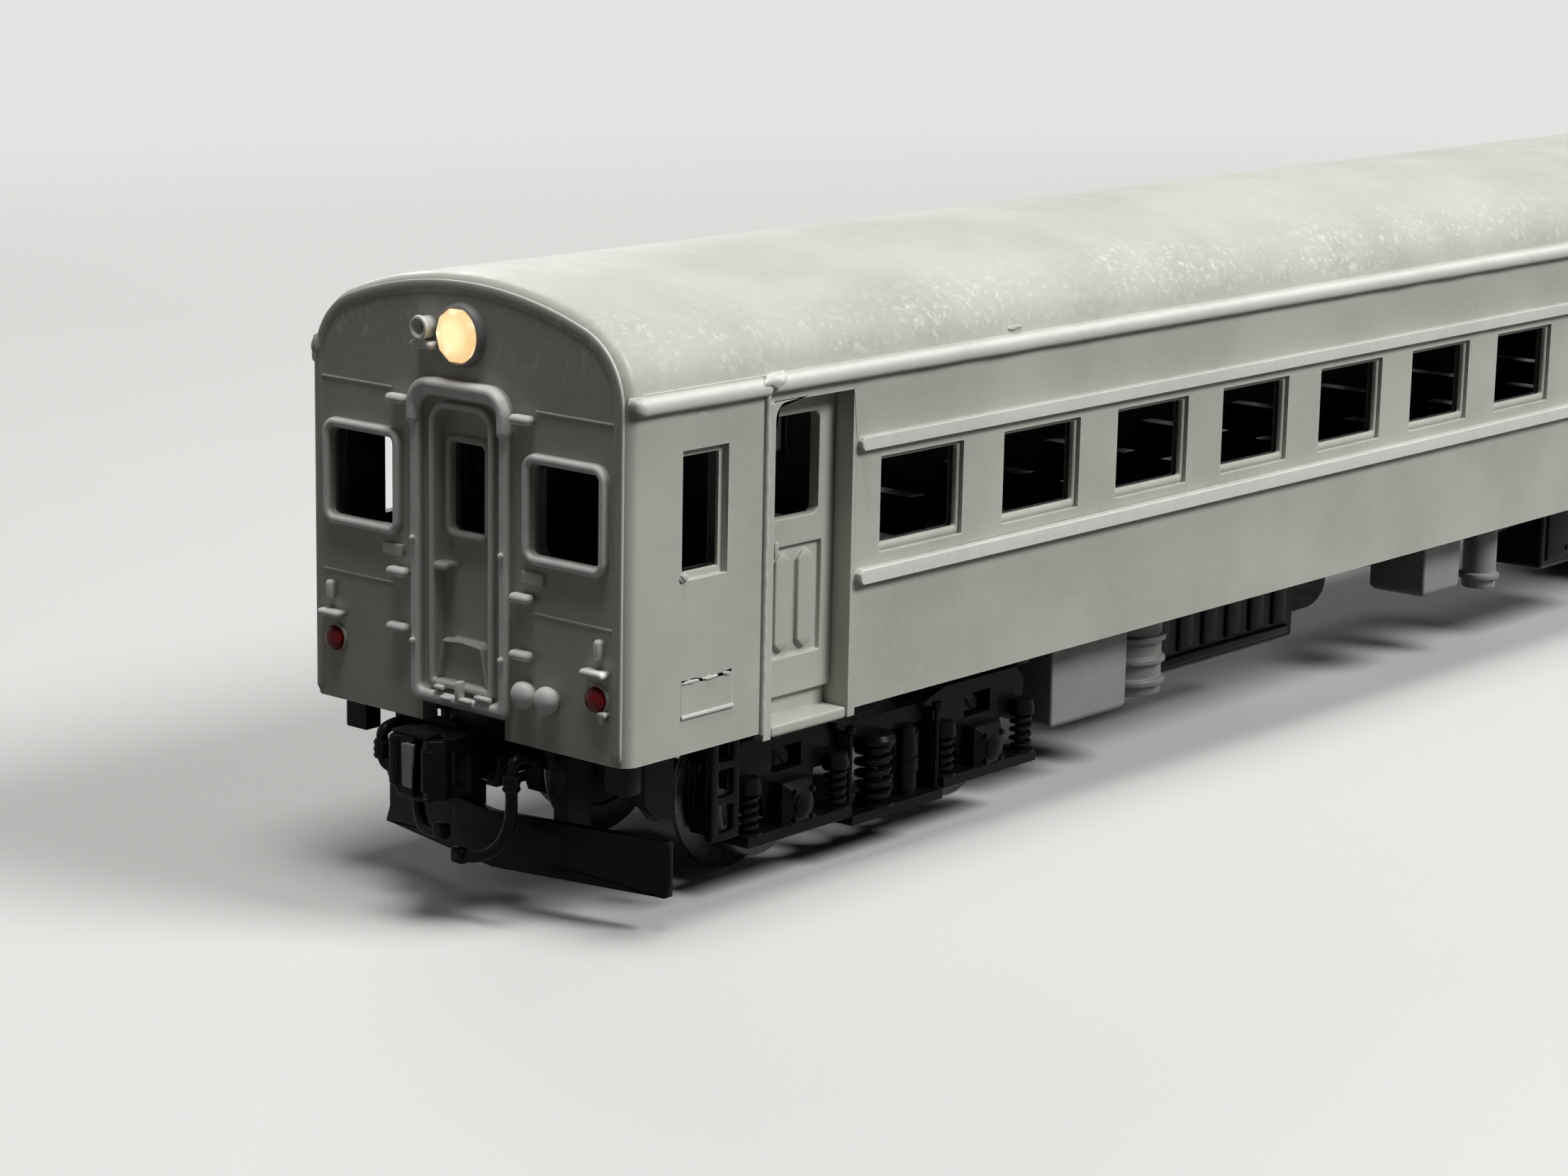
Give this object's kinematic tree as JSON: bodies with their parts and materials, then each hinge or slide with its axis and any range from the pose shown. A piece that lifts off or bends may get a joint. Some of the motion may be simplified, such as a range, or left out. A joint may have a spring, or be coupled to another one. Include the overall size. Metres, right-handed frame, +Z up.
{
  "type": "scale model diesel railcar",
  "caption": "Unpainted grey plastic scale model of a double-ended diesel railcar, on two black swivelling trucks.",
  "frame": {"origin": "middle of the car, at the flange tips that it stands on", "axes": "+X along the car away from the pictured end, +Y across it, +Z up"},
  "size_m": [0.1334, 0.0198, 0.0276],
  "materials": {
    "body_plastic": "satin moulded",
    "chassis_plastic": "satin moulded",
    "light_plastic": "matt moulded",
    "mid_plastic": "matt moulded",
    "headlamp_lens": "clear, lit warm",
    "tail_lens": "clear red",
    "wheel_metal": "blackened",
    "steel": "plain"
  },
  "bodies": {
    "car_body": {"air_cleaner": "mid_plastic", "air_tank": "light_plastic", "battery_box": "light_plastic", "brake_hoses_front": "chassis_plastic", "brake_hoses_rear": "chassis_plastic", "cab_front": "body_plastic", "cab_ladders_front": "chassis_plastic", "cab_ladders_rear": "chassis_plastic", "cab_partition_front": "chassis_plastic", "cab_partition_rear": "chassis_plastic", "cab_rear": "body_plastic", "chassis": "chassis_plastic", "control_box": "chassis_plastic", "coupler_front": "chassis_plastic", "coupler_rear": "chassis_plastic", "door_steps_left": "body_plastic", "door_steps_right": "body_plastic", "engine_block": "chassis_plastic", "entrance_doors_left": "body_plastic", "entrance_doors_right": "body_plastic", "fuel_tank": "chassis_plastic", "gangway_door_front": "body_plastic", "gangway_door_rear": "body_plastic", "gangway_frame_front": "body_plastic", "gangway_frame_rear": "body_plastic", "gearbox": "chassis_plastic", "headlamp_front": "body_plastic", "headlamp_lens_front": "headlamp_lens", "headlamp_lens_rear": "headlamp_lens", "headlamp_rear": "body_plastic", "heater_box": "chassis_plastic", "horn_front": "body_plastic", "horn_rear": "body_plastic", "kingpin_front": "steel", "kingpin_rear": "steel", "radiator_box": "light_plastic", "roof": "body_plastic", "seat_tray": "chassis_plastic", "side_wall_left": "body_plastic", "side_wall_right": "body_plastic", "snow_plough_front": "chassis_plastic", "snow_plough_rear": "chassis_plastic", "tail_lamps_front": "tail_lens", "tail_lamps_rear": "tail_lens", "weight_plate": "steel"},
    "truck_front": {"truck_frame_front": "chassis_plastic"},
    "truck_rear": {"truck_frame_rear": "chassis_plastic"},
    "wheelset_1": {"wheelset_1": "wheel_metal"},
    "wheelset_2": {"wheelset_2": "wheel_metal"},
    "wheelset_3": {"wheelset_3": "wheel_metal"},
    "wheelset_4": {"wheelset_4": "wheel_metal"}
  },
  "joints": [
    {"name": "truck_front_swivel", "type": "hinge", "parent": "car_body", "child": "truck_front", "pos_m": [-0.044, 0, 0.006], "axis": [0, 0, 1], "range_deg": [-8, 8]},
    {"name": "truck_rear_swivel", "type": "hinge", "parent": "car_body", "child": "truck_rear", "pos_m": [0.044, 0, 0.006], "axis": [0, 0, 1], "range_deg": [-8, 8]},
    {"name": "wheelset_1_spin", "type": "hinge", "parent": "truck_front", "child": "wheelset_1", "pos_m": [-0.0509, 0, 0.00375], "axis": [0, 1, 0], "continuous": true},
    {"name": "wheelset_2_spin", "type": "hinge", "parent": "truck_front", "child": "wheelset_2", "pos_m": [-0.0371, 0, 0.00375], "axis": [0, 1, 0], "continuous": true},
    {"name": "wheelset_3_spin", "type": "hinge", "parent": "truck_rear", "child": "wheelset_3", "pos_m": [0.0371, 0, 0.00375], "axis": [0, 1, 0], "continuous": true},
    {"name": "wheelset_4_spin", "type": "hinge", "parent": "truck_rear", "child": "wheelset_4", "pos_m": [0.0509, 0, 0.00375], "axis": [0, 1, 0], "continuous": true}
  ]
}
